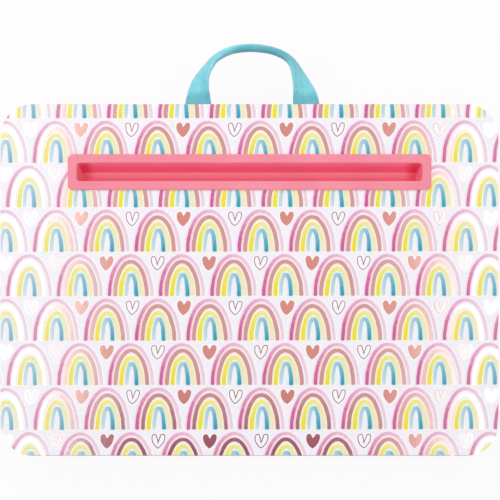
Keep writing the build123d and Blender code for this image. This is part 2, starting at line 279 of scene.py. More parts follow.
def make_print():
    # Paper printed with inks, hot-stamped with rose foil and laminated with a satin film: the
    # inks are even and a little cloudy, the film softens what it reflects, the foil mirrors it.
    add, complete = new_material(
        "laminated_print_with_hot_foil", "#F6F4F8", 0.36, specular_ior_level=0.25
    )
    place = add("TexCoord", out="Object")
    mm = add("VectorMath SCALE", {0: place, "Scale": 1000.0})
    # strokes drawn by hand: the outline strays by a few tenths of a millimetre
    stray = add("TexNoise", {"Vector": mm, "Scale": 0.12, "Detail": 1.0}, out="Color")
    stray = add("VectorMath SUBTRACT", [stray, (0.5, 0.5, 0.5)])
    drawn = add("VectorMath MULTIPLY_ADD", [stray, (0.9, 0.9, 0.0), mm])
    x = add("SeparateXYZ", [drawn], out="X")
    y = add("SeparateXYZ", [drawn], out="Y")

    # which row, and how far above the feet of its arches
    from_feet = add("Math MULTIPLY_ADD", [x, -ROWS_ASKEW, y])
    from_feet = add("Math SUBTRACT", [from_feet, FEET_Y - FEET_MARGIN])
    rows = add("Math DIVIDE", [from_feet, ROW_PITCH])
    row = add("Math FLOOR", [rows])
    lift = add("Math MULTIPLY_ADD", [row, -ROW_PITCH, from_feet])
    lift = add("Math SUBTRACT", [lift, FEET_MARGIN])
    above = add("Math MAXIMUM", [lift, 0.0])
    below = add("Math MINIMUM", [lift, 0.0])
    below = add("Math MULTIPLY", [below, BLUNT_FEET])
    # every other row is set off by half a pitch
    odd = add("Math FLOORED_MODULO", [row, 2.0])
    along = add("Math MULTIPLY_ADD", [odd, ODD_ROW_SHIFT, ARCH_START])
    along = add("Math ADD", [along, x])
    along = add("Math MULTIPLY_ADD", [y, ASKEW, along])
    drawn_out = add("Math MULTIPLY", [x, 2 * math.pi / BOARD_LENGTH])
    drawn_out = add("Math SINE", [drawn_out])
    along = add("Math MULTIPLY_ADD", [drawn_out, -STRETCH, along])
    columns = add("Math DIVIDE", [along, ARCH_PITCH])
    column = add("Math ROUND", [columns])
    side = add("Math MULTIPLY_ADD", [column, -ARCH_PITCH, along])
    # 0 at the left foot, 1 at the right one: the brush runs out of colour on the way
    half_above = add("Math MULTIPLY", [above, 0.5])
    other_side = add("Math MULTIPLY", [side, -1.0])
    turn = add("Math ARCTAN2", [half_above, other_side])
    turn = add("Math DIVIDE", [turn, math.pi])
    cloud = add("TexNoise", {"Vector": mm, "Scale": 0.42, "Detail": 4.0, "Roughness": 0.62})
    cloud = add("Math SUBTRACT", [cloud, 0.5])
    turn = add("Math MULTIPLY_ADD", [cloud, 0.34, turn])

    strokes, bleeds = {}, {}
    halo = None
    for name, middle, half_width, height, width in ARCHES:
        across = add("Math MULTIPLY_ADD", [side, 1 / half_width, -middle / half_width])
        up = add("Math DIVIDE", [above, height])
        spot = add("CombineXYZ", {"X": across, "Y": up})
        reach = add("VectorMath LENGTH", [spot], out="Value")
        slope = add("VectorMath DIVIDE", [spot, (half_width, height, 1.0)])
        slope = add("VectorMath LENGTH", [slope], out="Value")
        off = add("Math SUBTRACT", [reach, 1.0])
        off = add("Math MULTIPLY", [off, reach])
        off = add("Math DIVIDE", [off, slope])
        off = add("CombineXYZ", {"X": off, "Y": below})
        off = add("VectorMath LENGTH", [off], out="Value")
        edge = SHARPNESS * width / 2 + 0.5
        strokes[name] = add("Math MULTIPLY_ADD", [off, -SHARPNESS, edge], use_clamp=True)
        # each stroke's ink bleeds a little into the whiter ground beside it
        edge = width / 2 / HALO + 1.0
        beside = add("Math MULTIPLY_ADD", [off, -1 / HALO, edge], use_clamp=True)
        halo = beside if halo is None else add("Math MAXIMUM", [halo, beside])
        bleeds[name] = add("Math MULTIPLY", [beside, 0.47])

    # hearts stand between the arches of a row, filled and outlined in turn
    gap = add("Math FLOOR", [columns])
    outlined = add("Math FLOORED_MODULO", [gap, 2.0])
    heart_x = add("Math ADD", [gap, HEART_PHASE])
    heart_x = add("Math MULTIPLY_ADD", [heart_x, -ARCH_PITCH, along])
    heart_x = add("Math MULTIPLY_ADD", [odd, ODD_HEART_SHIFT, heart_x])
    heart_y = add("Math SUBTRACT", [lift, HEART_RISE])
    heart_x = add("Math MULTIPLY_ADD", [heart_y, HEART_LEAN, heart_x])
    heart_x = add("Math ABSOLUTE", [heart_x])
    heart = add("CombineXYZ", {"X": heart_x, "Y": heart_y})
    flank = add("VectorMath DISTANCE", [heart, FLANK], out="Value")
    flank = add("Math SUBTRACT", [flank, FLANK_RADIUS])
    # the notch is an open V, deeper and steeper in an outlined heart
    notches = []
    for normal, level in NOTCHES:
        notch = add("VectorMath DOT_PRODUCT", [heart, normal], out="Value")
        notches.append(add("Math SUBTRACT", [notch, normal[1] * level]))
    notch = add("Mix", {0: outlined, 2: notches[0], 3: notches[1]})
    shoulder = add("Math SUBTRACT", [heart_y, SHOULDER])
    body = add("Math MAXIMUM", [flank, shoulder])
    lobe = add("VectorMath DISTANCE", [heart, LOBE], out="Value")
    lobe = add("Math SUBTRACT", [lobe, LOBE_RADIUS])
    outside = add("Math MINIMUM", [body, lobe])
    outside = add("Math MAXIMUM", [outside, notch])
    filled = add("Math MULTIPLY_ADD", [outside, -SHARPNESS, 0.5], use_clamp=True)
    line = add("Math ADD", [outside, HEART_LINE])
    line = add("Math ABSOLUTE", [line])
    edge = SHARPNESS * HEART_LINE + 0.5
    line = add("Math MULTIPLY_ADD", [line, -SHARPNESS, edge], use_clamp=True)
    line = add("Math MULTIPLY", [line, outlined])
    filled = add("Mix", {0: outlined, 2: filled, 3: 0.0})
    beside = add("Math MULTIPLY_ADD", [outside, -1 / HALO, 1.0], use_clamp=True)
    halo = add("Math MAXIMUM", [halo, beside])

    # painted reflection: the foil is painted paler towards the board's two ends, as where it
    # mirrors bright light, and its rose bleed is weaker there
    from_middle = add("SeparateXYZ", [mm], out="X")
    from_glare_middle = add("Math SUBTRACT", [from_middle, GLARE_MIDDLE])
    from_glare_middle = add("Math ABSOLUTE", [from_glare_middle])
    painted_glare = add("MapRange SMOOTHSTEP", [from_glare_middle, *GLARE_SPAN, 0.0, MOST_GLARE])
    rose_bleed_less_glare = add("Math MULTIPLY_ADD", [painted_glare, -1 / MOST_GLARE, 1.0])
    rose_bleed_less_glare = add("Math MULTIPLY", [rose_bleed_less_glare, bleeds["foil"]])
    ground = add("Mix RGBA", [halo, "#F3F1F7", "#FBF7FA"])
    colour = add("Mix RGBA", [rose_bleed_less_glare, ground, "#FFB4AE"])
    # painted glare: the inks are painted paler towards the sheet's two ends, as where the film
    # mirrors bright light
    ink_glare = []
    for start, end, most in INK_GLARE_ENDS:
        ink_glare.append(add("MapRange SMOOTHSTEP", [from_middle, start, end, 0.0, most]))
    ink_glare = add("Math MAXIMUM", [ink_glare[0], ink_glare[1]])
    for name in ("pink", "yellow", "blue"):
        ink = add("ValToRGB", [turn], stops=INKS[name])
        ink = add("Mix RGBA", [ink_glare, ink, "#F5F1F6"])
        bled = add("VectorMath SCALE", {0: ink, "Scale": 1.45})
        bled = add("VectorMath MINIMUM", [bled, (1.0, 1.0, 1.0)])
        colour = add("Mix RGBA", [bleeds[name], colour, bled])
        colour = add("Mix RGBA", [strokes[name], colour, ink])
    # painted shade: a darker mauve line along the front edge, where the board's edge shows in shade
    front_edge_shade = add("SeparateXYZ", [mm], out="Y")
    front_edge_shade = add("Math MULTIPLY_ADD", [front_edge_shade, -1.6, -1.6 * FRONT_SHADE_Y], use_clamp=True)
    colour = add("Mix RGBA", [front_edge_shade, colour, "#B3A5B4"])
    shade = add("Math MULTIPLY_ADD", [cloud, 0.16, 1.0])
    colour = add("VectorMath SCALE", {0: colour, "Scale": shade})
    colour = add("Mix RGBA", [strokes["underprint"], colour, "#A88088"])
    foil = add("Math MAXIMUM", [strokes["foil"], filled])
    foil = add("Math MULTIPLY_ADD", [line, 0.9, foil], use_clamp=True)
    # foil lies unevenly on the paper, with small bare specks
    specks = add("TexNoise", {"Vector": mm, "Scale": 2.2, "Detail": 2.0})
    specks = add("Math MULTIPLY_ADD", [specks, -7.0, 5.9], use_clamp=True)
    foil = add("Math MULTIPLY", [foil, specks])
    # painted reflection: a thin foil line is given a darker colour, as if it mirrored something
    # dark
    metal = add("Mix RGBA", [filled, "#D19C99", "#D88F85"])
    metal = add("Mix RGBA", [line, metal, "#8E5C68"])
    # painted reflection: the foil's colour is made paler where the painted glare lies
    metal = add("Mix RGBA", [painted_glare, metal, "#F0DAD4"])
    colour = add("Mix RGBA", [foil, colour, metal])
    gloss = add("Math MULTIPLY_ADD", [foil, -0.22, 0.36])
    # the laminate follows the board's faint waviness, which shows in the foil
    wave = add("TexNoise", {"Vector": mm, "Scale": 0.05, "Detail": 2.0, "Roughness": 0.6})
    return complete(Base_Color=colour, Metallic=foil, Roughness=gloss, relief=(wave, 1.0, 0.00008))


def make_edge_plastic():
    # PVC edge banding, extruded and glued on: smooth satin with faint lengthways drawing lines
    add, complete = new_material("extruded_pvc_banding", "#F0E4EA", 0.42, ior=1.53)
    place = add("TexCoord", out="Object")
    stretched = add("VectorMath MULTIPLY", [place, (30.0, 30.0, 2600.0)])
    lines = add("TexNoise", {"Vector": stretched, "Scale": 1.0, "Detail": 3.0})
    colour = add("ValToRGB", [lines], stops=((0.3, "#E9DBE2"), (0.7, "#F5ECF0")))
    rough = add("MapRange", [lines, 0.0, 1.0, 0.36, 0.5])
    return complete(Base_Color=colour, Roughness=rough, relief=(lines, 0.3, 0.0001))


# Millimetres: where the painted shade deepens the groove's pink towards its ends, where the painted
# highlight on its end walls would meet the level that the desk rests on, how much they lean, and
# where the flange's grain starts
END_SHADE, END_WALL_HIGHLIGHT, END_LEAN, TEXTURED = (133.5, 143.5), (131.2, 132.0), 0.2833, (60.8, 61.6)


def make_tray_plastic():
    # ABS, injection moulded and spark-eroded: an even pink with a fine matt texture (0.3 mm
    # grain, drawn as 0.7 mm so that it shows) and slight flow clouds
    add, complete = new_material("moulded_abs", "#F28CA4", 0.46, ior=1.52)
    place = add("TexCoord", out="Object")
    grain = add("TexNoise", {"Vector": place, "Scale": 1500.0, "Detail": 2.0})
    clouds = add("TexNoise", {"Vector": place, "Scale": 28.0, "Detail": 3.0})
    both = add("Math MULTIPLY_ADD", [grain, 0.45, clouds])
    stops = ((0.45, "#ED8297"), (0.72, "#F1899B"), (1.0, "#F495A6"))
    flange = add("ValToRGB", [both], stops=stops)
    # painted highlight and shade across the groove: paler where its floor meets the slope, darker
    # towards its front wall, and lighter on its sloped back
    mm = add("VectorMath SCALE", {0: place, "Scale": 1000.0})
    depth = add("SeparateXYZ", [mm], out="Y")
    depth = add("MapRange", [depth, TRAY_Y - SLOT_HALF_DEPTH, TRAY_Y + SLOT_HALF_DEPTH])
    stops = (
        (0.02, "#E9506E"), (0.2, "#F26C87"), (0.42, "#F88399"),
        (0.5, "#FA8B9F"), (0.56, "#FC7090"), (1.0, "#FB7090"),
    )
    groove_pink_and_painted_light = add("ValToRGB", [depth], stops=stops)
    clouded = add("MapRange", [both, 0.45, 1.0, 0.97, 1.05])
    groove_pink_and_painted_light = add("VectorMath SCALE", {0: groove_pink_and_painted_light, "Scale": clouded})
    # painted shade: the pink is made deeper towards the groove's ends, where shade gathers
    along = add("SeparateXYZ", [mm], out="X")
    along = add("Math ABSOLUTE", [along])
    painted_shade = add("MapRange SMOOTHSTEP", [along, *END_SHADE, 0.0, 0.95])
    groove_pink_and_painted_light = add("Mix RGBA", [painted_shade, groove_pink_and_painted_light, "#E63A5A"])
    # painted highlight: the leaning end walls are painted a lighter pink, as where they catch the
    # light
    height = add("SeparateXYZ", [mm], out="Z")
    end_wall_highlight = add("Math MULTIPLY_ADD", [height, -END_LEAN, along])
    end_wall_highlight = add("MapRange", [end_wall_highlight, *END_WALL_HIGHLIGHT])
    groove_pink_and_painted_light = add("Mix RGBA", [end_wall_highlight, groove_pink_and_painted_light, "#F88298"])
    textured = add("MapRange", [height, *TEXTURED])
    colour = add("Mix RGBA", [textured, groove_pink_and_painted_light, flange])
    rough = add("MapRange", [both, 0.4, 1.0, 0.4, 0.56])
    return complete(Base_Color=colour, Roughness=rough, relief=(grain, 0.35, 0.0002))


THREAD = 0.9  # threads are drawn this far apart
STITCH, STITCH_INSET = 3.0, 2.6  # length, and distance from the strap's edge
PINCH_SHADE = (157.5, 166.5)  # from here to here, towards the rear, the painted shade at the fold fades


def make_strap_cloth():
    # Cotton canvas sleeve, woven plain and piece-dyed: matt, with a fine cross of threads (0.5 mm,
    # drawn as 0.9 mm so that they show), a line of stitches near each edge and a soft nap
    add, complete = new_material(
        "woven_cotton_canvas", "#7FD4E2", 0.82,
        sheen_weight=0.35, sheen_roughness=0.45, sheen_tint="#D8F2F6",
    )
    spot = add("Attribute", out="Vector", attribute_name="strap_place")
    along = add("SeparateXYZ", [spot], out="X")
    across = add("SeparateXYZ", [spot], out="Y")
    edge = add("SeparateXYZ", [spot], out="Z")  # distance from the nearer edge
    warp = add("Math MULTIPLY", [across, math.pi / THREAD])
    warp = add("Math SINE", [warp])
    weft = add("Math MULTIPLY", [along, math.pi / THREAD])
    weft = add("Math SINE", [weft])
    weave = add("Math MULTIPLY", [warp, weft])
    fuzz = add("TexNoise", {"Vector": spot, "Scale": 1.3, "Detail": 3.0})
    clouds = add("TexNoise", {"Vector": spot, "Scale": 0.09, "Detail": 4.0})
    seam = add("Math SUBTRACT", [edge, STITCH_INSET])
    seam = add("Math ABSOLUTE", [seam])
    seam_line = add("Math MULTIPLY_ADD", [seam, -1.6, 1.25], use_clamp=True)
    stitch = add("Math FLOORED_MODULO", [along, STITCH])
    stitch = add("Math ADD", [stitch, -STITCH / 2])
    stitch = add("Math ABSOLUTE", [stitch])
    stitch = add("Math MULTIPLY_ADD", [stitch, -3.0, 4.0], use_clamp=True)
    thread = add("Math MULTIPLY_ADD", [seam, -4.0, 1.6], use_clamp=True)
    thread = add("Math MULTIPLY", [thread, stitch])
    tone = add("Math MULTIPLY_ADD", [weave, 0.1, clouds])
    tone = add("Math MULTIPLY_ADD", [fuzz, 0.3, tone])
    stops = ((0.4, "#76D2E2"), (0.65, "#89DCEA"), (0.9, "#9CE4EF"))
    colour = add("ValToRGB", [tone], stops=stops)
    dark = add("Math MULTIPLY_ADD", [seam_line, -0.14, 1.0])
    colour = add("VectorMath SCALE", {0: colour, "Scale": dark})
    colour = add("Mix RGBA", [thread, colour, "#98E2EE"])
    # painted shade: the colour is darkened inside the rolled grip, along a crease that runs across
    # it, and where the cloth is pinched at its fold
    roll = add("Attribute", out="Vector", attribute_name="strap_roll")
    inward = add("SeparateXYZ", [roll], out="X")
    from_middle = add("SeparateXYZ", [roll], out="Y")
    inside = add("Math MULTIPLY_ADD", [from_middle, 0.014, inward])
    inside = add("MapRange SMOOTHSTEP", [inside, -0.75, 0.15])
    for start, end in ((-33.0, -8.0), (46.0, 28.0)):  # it fades out to the left and to the right
        edge = add("MapRange SMOOTHSTEP", [from_middle, start, end])
        inside = add("Math MULTIPLY", [inside, edge])
    reach = add("TexCoord", out="Object")
    reach = add("SeparateXYZ", [reach], out="Y")
    pinch_shade = add("MapRange SMOOTHSTEP", [reach, PINCH_SHADE[0] * MM, PINCH_SHADE[1] * MM, 0.68, 0.0])
    painted_shade = add("Math MAXIMUM", [inside, pinch_shade])
    shaded_colour = add("VectorMath MULTIPLY", [colour, (0.45, 0.63, 0.65)])
    colour = add("Mix RGBA", [painted_shade, colour, shaded_colour])
    height = add("Math MULTIPLY_ADD", [seam_line, -1.2, weave])
    height = add("Math MULTIPLY_ADD", [thread, 1.6, height])
    height = add("Math MULTIPLY_ADD", [fuzz, 1.2, height])
    return complete(Base_Color=colour, relief=(height, 0.7, 0.00025))


def make_plush():
    # Polyester velboa, knitted and sheared: a 2 mm pile that catches light at grazing angles and
    # lies a little lighter or darker where it has been stroked one way or the other
    add, complete = new_material(
        "sheared_polyester_velboa", "#F393A8", 0.92,
        sheen_weight=0.35, sheen_roughness=0.4, sheen_tint="#FFB7C6",
    )
    place = add("TexCoord", out="Object")
    stroked = add("TexNoise", {"Vector": place, "Scale": 17.0, "Detail": 2.0, "Distortion": 0.7})
    # tufts of pile about 1.2 mm across, in clumps of a few
    tufts = add("TexNoise", {"Vector": place, "Scale": 820.0, "Detail": 3.0, "Roughness": 0.65})
    clumps = add("TexNoise", {"Vector": place, "Scale": 230.0, "Detail": 2.0, "Distortion": 0.8})
    tone = add("Math MULTIPLY_ADD", [tufts, 0.7, stroked])
    tone = add("Math MULTIPLY_ADD", [clumps, 0.45, tone])
    tone = add("MapRange", [tone, 0.75, 1.4])
    stops = ((0.0, "#EF839B"), (0.35, "#F999AE"), (0.65, "#FFAABB"), (1.0, "#FFC6D2"))
    colour = add("ValToRGB", [tone], stops=stops)
    pile = add("Math MULTIPLY_ADD", [clumps, 1.2, tufts])
    return complete(Base_Color=colour, relief=(pile, 0.9, 0.001))


def make_plain(name, colour, roughness, kind, pattern, stops, relief, hollow=False, **shader):
    """A material whose one pattern gives it both its colours and its relief."""
    add, complete = new_material(name, colour, roughness, **shader)
    place = add("TexCoord", out="Object")
    pattern = add(kind, {"Vector": place, **pattern})
    colour = add("ValToRGB", [pattern], stops=stops)
    return complete(Base_Color=colour, relief=(pattern, *relief), hollow=hollow)


def make_backing():
    # Bleached kraft paper glued to the board: off-white, with a soft felt of fibres
    add, complete = new_material("bleached_kraft_paper", "#EFECE7", 0.78)
    place = add("TexCoord", out="Object")
    felt = add("TexNoise", {"Vector": place, "Scale": 700.0, "Detail": 4.0, "Distortion": 1.0})
    clouds = add("TexNoise", {"Vector": place, "Scale": 40.0, "Detail": 3.0})
    tone = add("Math MULTIPLY_ADD", [felt, 0.5, clouds])
    colour = add("ValToRGB", [tone], stops=((0.5, "#E6E1DA"), (0.95, "#F3F1ED")))
    return complete(Base_Color=colour, relief=(felt, 0.25, 0.0001))


def make_staple_wire():
    # Galvanised steel wire, drawn and flattened: grey metal with lengthways drawing marks
    add, complete = new_material("galvanised_steel_wire", "#B9BCC0", 0.35, metallic=1.0)
    place = add("TexCoord", out="Object")
    drawn = add("VectorMath MULTIPLY", [place, (300.0, 6000.0, 6000.0)])
    marks = add("TexNoise", {"Vector": drawn, "Scale": 1.0, "Detail": 2.0})
    colour = add("ValToRGB", [marks], stops=((0.3, "#A4A8AD"), (0.7, "#C9CCCF")))
    rough = add("MapRange", [marks, 0.0, 1.0, 0.28, 0.45])
    return complete(Base_Color=colour, Roughness=rough)


def make_nonwoven(name, colours, scale):
    # Spun-bonded polypropylene: thin matt felt with a small grid of bonding points
    add, complete = new_material(name, colours[1], 0.8)
    place = add("TexCoord", out="Object")
    felt = add("TexNoise", {"Vector": place, "Scale": scale, "Detail": 4.0, "Distortion": 1.2})
    points = add("TexVoronoi", {"Vector": place, "Scale": scale * 0.8})
    tone = add("Math MULTIPLY_ADD", [points, -0.3, felt])
    colour = add("ValToRGB", [tone], stops=((0.2, colours[0]), (0.6, colours[1])))
    return complete(Base_Color=colour, relief=(tone, 0.4, 0.0002))


# ---- Camera, light and floor ----
# The camera is straight above this place, and this much of the film's level fills its view
VIEW_CENTRE, VIEW_WIDTH = (0.43, 26.0), 433.75
# Name, width, depth, power and place of each softbox, and whether it is aimed at the desk
SOFTBOXES = (
    ("softbox_left", 0.48, 1.5, 3.3, (-0.60, 0.15, 1.56), False),
    ("softbox_right", 0.48, 1.5, 3.3, (0.61, 0.15, 1.56), False),
    ("softbox_rear", 1.6, 0.7, 11.0, (-0.5, 1.42, 1.1), True),
    ("fill_front", 1.8, 0.6, 5.0, (0.3, -1.6, 0.55), True),
)


def seen_directly(add):
    """Is it the camera's ray, and is it that, a mirrored one or one through something clear?"""
    camera = add("LightPath", out="Is Camera Ray")
    glossy = add("LightPath", out="Is Glossy Ray")
    through = add("LightPath", out="Is Transmission Ray")
    seen = add("Math ADD", [camera, glossy])
    return camera, add("Math ADD", [seen, through], use_clamp=True)


def set_up_studio():
    scene = bpy.context.scene
    scene.view_settings.view_transform = "Standard"
    camera = bpy.data.cameras.new("camera")
    camera.type, camera.lens, camera.sensor_width = "PERSP", 120.0, 36.0
    viewer = bpy.data.objects.new("camera", camera)
    scene.collection.objects.link(viewer)
    distance = VIEW_WIDTH * camera.lens / camera.sensor_width
    viewer.location = Vector((*VIEW_CENTRE, FILM_TOP + distance)) * MM
    scene.camera = viewer

    for name, width, depth, power, place, aimed in SOFTBOXES:
        light = bpy.data.lights.new(name, "AREA")
        light.shape, light.size, light.size_y, light.energy = "RECTANGLE", width, depth, power
        lamp = bpy.data.objects.new(name, light)
        scene.collection.objects.link(lamp)
        lamp.location = place
        if aimed:
            lamp.rotation_euler = Vector(place).to_track_quat("Z", "Y").to_euler()

    # a mauve drape above the front edge, which only the foil mirrors
    deselect()
    bpy.ops.mesh.primitive_plane_add(size=1, location=(-0.05, -0.51, 1.58))
    bpy.context.object.scale = (0.52, 0.48, 1)
    drape = settle("mauve_drape")
    drape.visible_camera = drape.visible_diffuse = False
    drape.visible_shadow = drape.visible_transmission = False
    wear(drape, new_material("mauve_cotton_drape", "#A884B8", 0.95)[1]())

    world = bpy.data.worlds.new("studio")
    scene.world = world
    world.use_nodes = True
    tree = world.node_tree
    add = partial(add_node, tree)
    _, seen = seen_directly(add)
    # below the floor it is as bright as white, so that the underside can be looked at
    downward = add("TexCoord", out="Generated")
    downward = add("SeparateXYZ", [downward], out="Z")
    downward = add("Math LESS_THAN", [downward, 0.0])
    seen = add("Math MAXIMUM", [seen, downward])
    strength = add("MapRange", [seen, 0.0, 1.0, 0.60, 1.0])
    tree.links.new(strength, tree.nodes["Background"].inputs["Strength"])
    tree.nodes["Background"].inputs["Color"].default_value = (1, 1, 1, 1)

    deselect()
    bpy.ops.mesh.primitive_plane_add(size=12, location=(0, 0, -0.0004))
    add, complete = new_material("white_studio_floor", "#F6F6F6", 0.9)
    floor = wear(settle("floor"), complete())
    tree = floor.active_material.node_tree
    camera_ray, seen = seen_directly(add)
    # the floor is nearly as white as the world to whatever sees it, and matt to the light
    lit = add("Math MULTIPLY", [seen, 0.88])
    glow = add("Emission", {"Color": "#FFFFFF", "Strength": 1.0})
    matt = tree.nodes["Principled BSDF"].outputs[0]
    mixed = add("MixShader", [lit, matt, glow])
    # seen from below, the floor is not there; nor is it to a ray that starts on what rests on it
    below = add("NewGeometry", out="Backfacing")
    below = add("Math MULTIPLY", [below, camera_ray])
    touching = add("LightPath", out="Ray Length")
    touching = add("Math LESS_THAN", [touching, 0.003])
    open_to = add("Math MAXIMUM", [below, touching])
    clear = add("BsdfTransparent", {"Color": "#FFFFFF"})
    mixed = add("MixShader", [open_to, mixed, clear])
    tree.links.new(mixed, tree.nodes["Material Output"].inputs["Surface"])


# ---- Board's edge ----
BAND_THICKNESS = 0.4


def make_edge_band():
    """Extruded band round the board: thin, with softened arrises."""
    half_x, half_y = BOARD_LENGTH / 2, BOARD_DEPTH / 2
    low, high = (-half_x, -half_y, BACKING_BOTTOM), (half_x, half_y, BOARD_TOP)
    band = block("edge_banding", low, high)
    round_edges(band, upright, BOARD_CORNER, 20)
    pick(band, "FACE", lambda at, normal: abs(normal.z) > 0.99)
    bpy.ops.mesh.inset(thickness=BAND_THICKNESS * MM, use_individual=True)
    bpy.ops.mesh.bridge_edge_loops()
    leave_edit()

    def outer_arris(middle, direction):
        level = middle.z > BOARD_TOP - HAIR or middle.z < BACKING_BOTTOM + HAIR
        x, y = abs(middle.x) - half_x, abs(middle.y) - half_y
        corner = Vector((x + BOARD_CORNER, y + BOARD_CORNER))
        rounded = min(corner) > 0 and corner.length > BOARD_CORNER - 0.2
        return level and abs(direction.z) < 0.1 and (x > -0.1 or y > -0.1 or rounded)

    round_edges(band, outer_arris, 0.3, 3)
    return smooth(band)


# ---- Tray ----
TRAY_HALF_LENGTH, TRAY_HALF_DEPTH, TRAY_WALL = 157.5, 15.5, 2.0
BACK_SLOPE, FRONT_SLOPE = 7.7, 0.3  # how far the groove's back and front lean in
RIBS, HOOKS, UNDERSIDE_LENGTH = 9, 5, 289.0
HOOK_HALF, HOOK_BOTTOM, HOOK_TOP = 4, 51.85, 54.85


def groove(name, grow, top, floor, corner, lean, back=0.0):
    """Block of the slot's shape: its ends lean in, its front hardly, its back slopes down."""
    half = SLOT_HALF_LENGTH + grow
    front, rear = TRAY_Y - SLOT_HALF_DEPTH - grow, TRAY_Y + SLOT_HALF_DEPTH + grow
    body = block(name, (-half, front, floor), (half, rear, top))
    low = floor + HAIR
    slide(body, lambda at, _: at.z < low and at.y > TRAY_Y, 0, -BACK_SLOPE)
    slide(body, lambda at, _: at.z > top - HAIR and at.y > TRAY_Y, 0, back)
    slide(body, lambda at, _: at.z < low and at.y < TRAY_Y - 3, 0, FRONT_SLOPE)
    for side in (-1, 1):
        slide(body, lambda at, _: at.z < low and at.x * side > 0, -side * lean, 0)
    round_edges(body, lambda at, direction: abs(direction.z) > 0.5, corner, 6)
    return body


def make_tray():
    """Moulded tray: rounded flange, groove with a sloped back, ribs and snap hooks below."""
    x, y = TRAY_HALF_LENGTH, TRAY_HALF_DEPTH
    tray = block("slot_tray_moulding", (-x, TRAY_Y - y, FILM_TOP), (x, TRAY_Y + y, FLANGE_TOP))
    round_edges(tray, upright, 4.5, 8)
    round_edges(tray, lambda at, _: at.z > FLANGE_TOP - HAIR, 1.1, 4)
    wall = groove("outer", TRAY_WALL, FLANGE_TOP - 0.8, GROOVE_BOTTOM, corner=3.5, lean=4.6)
    combine(tray, wall, "UNION")

    front, rear = TRAY_Y - SLOT_HALF_DEPTH, TRAY_Y + SLOT_HALF_DEPTH
    pitch = UNDERSIDE_LENGTH / RIBS
    for i in range(RIBS):  # locating ribs behind the groove
        x = (i - RIBS // 2) * pitch
        low, high = (x - 0.8, front + 7.6, BACKING_BOTTOM), (x + 0.8, rear + 2.2, FILM_TOP + 0.4)
        combine(tray, block("rib", low, high), "UNION")
    pitch = UNDERSIDE_LENGTH / HOOKS
    for i in range(HOOKS):  # hooks along the front wall, which slope away below the board
        x = (i - HOOKS // 2) * pitch
        low = (x - HOOK_HALF, front - 3.8, HOOK_BOTTOM)
        hook = block("hook", low, (x + HOOK_HALF, front + 0.1, HOOK_TOP))
        slide(hook, lambda at, _: at.z < 52 and at.y < front - 3, 0, 1.8)
        combine(tray, hook, "UNION")

    def end_block(name, side, near, far, top):
        low, high = sorted((side * near, side * far))
        y = TRAY_Y - HOOK_HALF, TRAY_Y + HOOK_HALF
        return block(name, (low, y[0], HOOK_BOTTOM), (high, y[1], top))

    for side in (-1, 1):  # one hook at each end, on a short arm
        arm = end_block("arm", side, 145, 152, 61)
        catch = end_block("catch", side, 151, 153.8, HOOK_TOP)
        slide(catch, lambda at, _: at.z < 52 and abs(at.x) > 153, -side * 1.6, 0)
        combine(arm, catch, "UNION")
        combine(tray, arm, "UNION")

    cavity = groove("cavity", 0.0, FLANGE_TOP, GROOVE_FLOOR, corner=2.6, lean=3.4, back=0.6)
    round_edges(cavity, lambda at, _: at.z < GROOVE_FLOOR + HAIR, 0.9, 4)
    pick(cavity, "FACE", lambda at, normal: at.z > FLANGE_TOP - HAIR and normal.z > 0.9)
    bpy.ops.mesh.extrude_region_move(TRANSFORM_OT_translate={"value": (0, 0, 1.5 * MM)})
    leave_edit()
    combine(tray, cavity, "DIFFERENCE")

    def slot_rim(middle, direction):
        x, y = abs(middle.x) - SLOT_HALF_LENGTH, abs(middle.y - TRAY_Y) - SLOT_HALF_DEPTH
        inside, edge = x < 0.2 and y < 0.2, x > -4 or y > -0.2
        return middle.z > FLANGE_TOP - HAIR and inside and edge

    round_edges(tray, slot_rim, 0.5, 3)
    pick(tray, "VERT", lambda at, _: True)
    bpy.ops.mesh.remove_doubles(threshold=0.00001)
    leave_edit()
    smooth(tray, 40)
    return finish_with(tray, "WEIGHTED_NORMAL", keep_sharp=True)


# ---- Carry strap ----
# Stations along the strap's middle line: x, y, width seen from above, real width, thickness
STRAP = (
    (-44.7, 117.5, 22.5, 22.5, 2.0),
    (-44.7, 130.0, 22.5, 22.5, 2.0),
    (-44.7, 146.0, 22.5, 22.5, 2.0),
    (-44.7, 153.5, 22.5, 22.5, 2.3),
    (-44.4, 159.0, 20.8, 20.8, 3.1),
    (-44.3, 162.2, 19.5, 19.55, 3.3),
    (-43.9, 166.5, 17.5, 19.2, 3.7),
    (-42.3, 173.6, 14.4, 18.8, 4.4),
    (-39.8, 179.3, 11.2, 18.5, 5.0),
    (-36.2, 185.2, 9.0, 18.5, 5.8),
    (-29.6, 193.2, 7.5, 18.5, 6.6),
    (-17.0, 200.0, 7.4, 18.5, 7.0),
    (-0.5, 202.5, 7.6, 18.5, 7.2),
    (16.4, 200.9, 7.4, 18.5, 7.0),
    (28.4, 196.8, 7.5, 18.5, 6.8),
    (36.3, 191.0, 8.2, 18.5, 6.2),
    (40.2, 184.4, 9.8, 18.5, 5.5),
    (43.2, 177.2, 12.8, 18.6, 4.7),
    (45.9, 169.6, 16.4, 18.2, 3.8),
    (47.5, 164.0, 19.8, 19.9, 3.4),
    (48.1, 161.5, 20.9, 20.9, 3.2),
    (49.3, 153.5, 23.0, 23.0, 2.3),
    (49.3, 146.0, 22.5, 22.5, 2.0),
    (49.3, 130.0, 22.5, 22.5, 2.0),
    (49.3, 117.5, 22.5, 22.5, 2.0),
)
STRAP_RINGS, INTERLINING_RINGS = 260, 120
STRAP_ROUND = 36  # points round the strap's section
INTERLINING_END, INTERLINING_SKIN = 39.6, 0.85  # how far from the strap's ends, and how deep in it


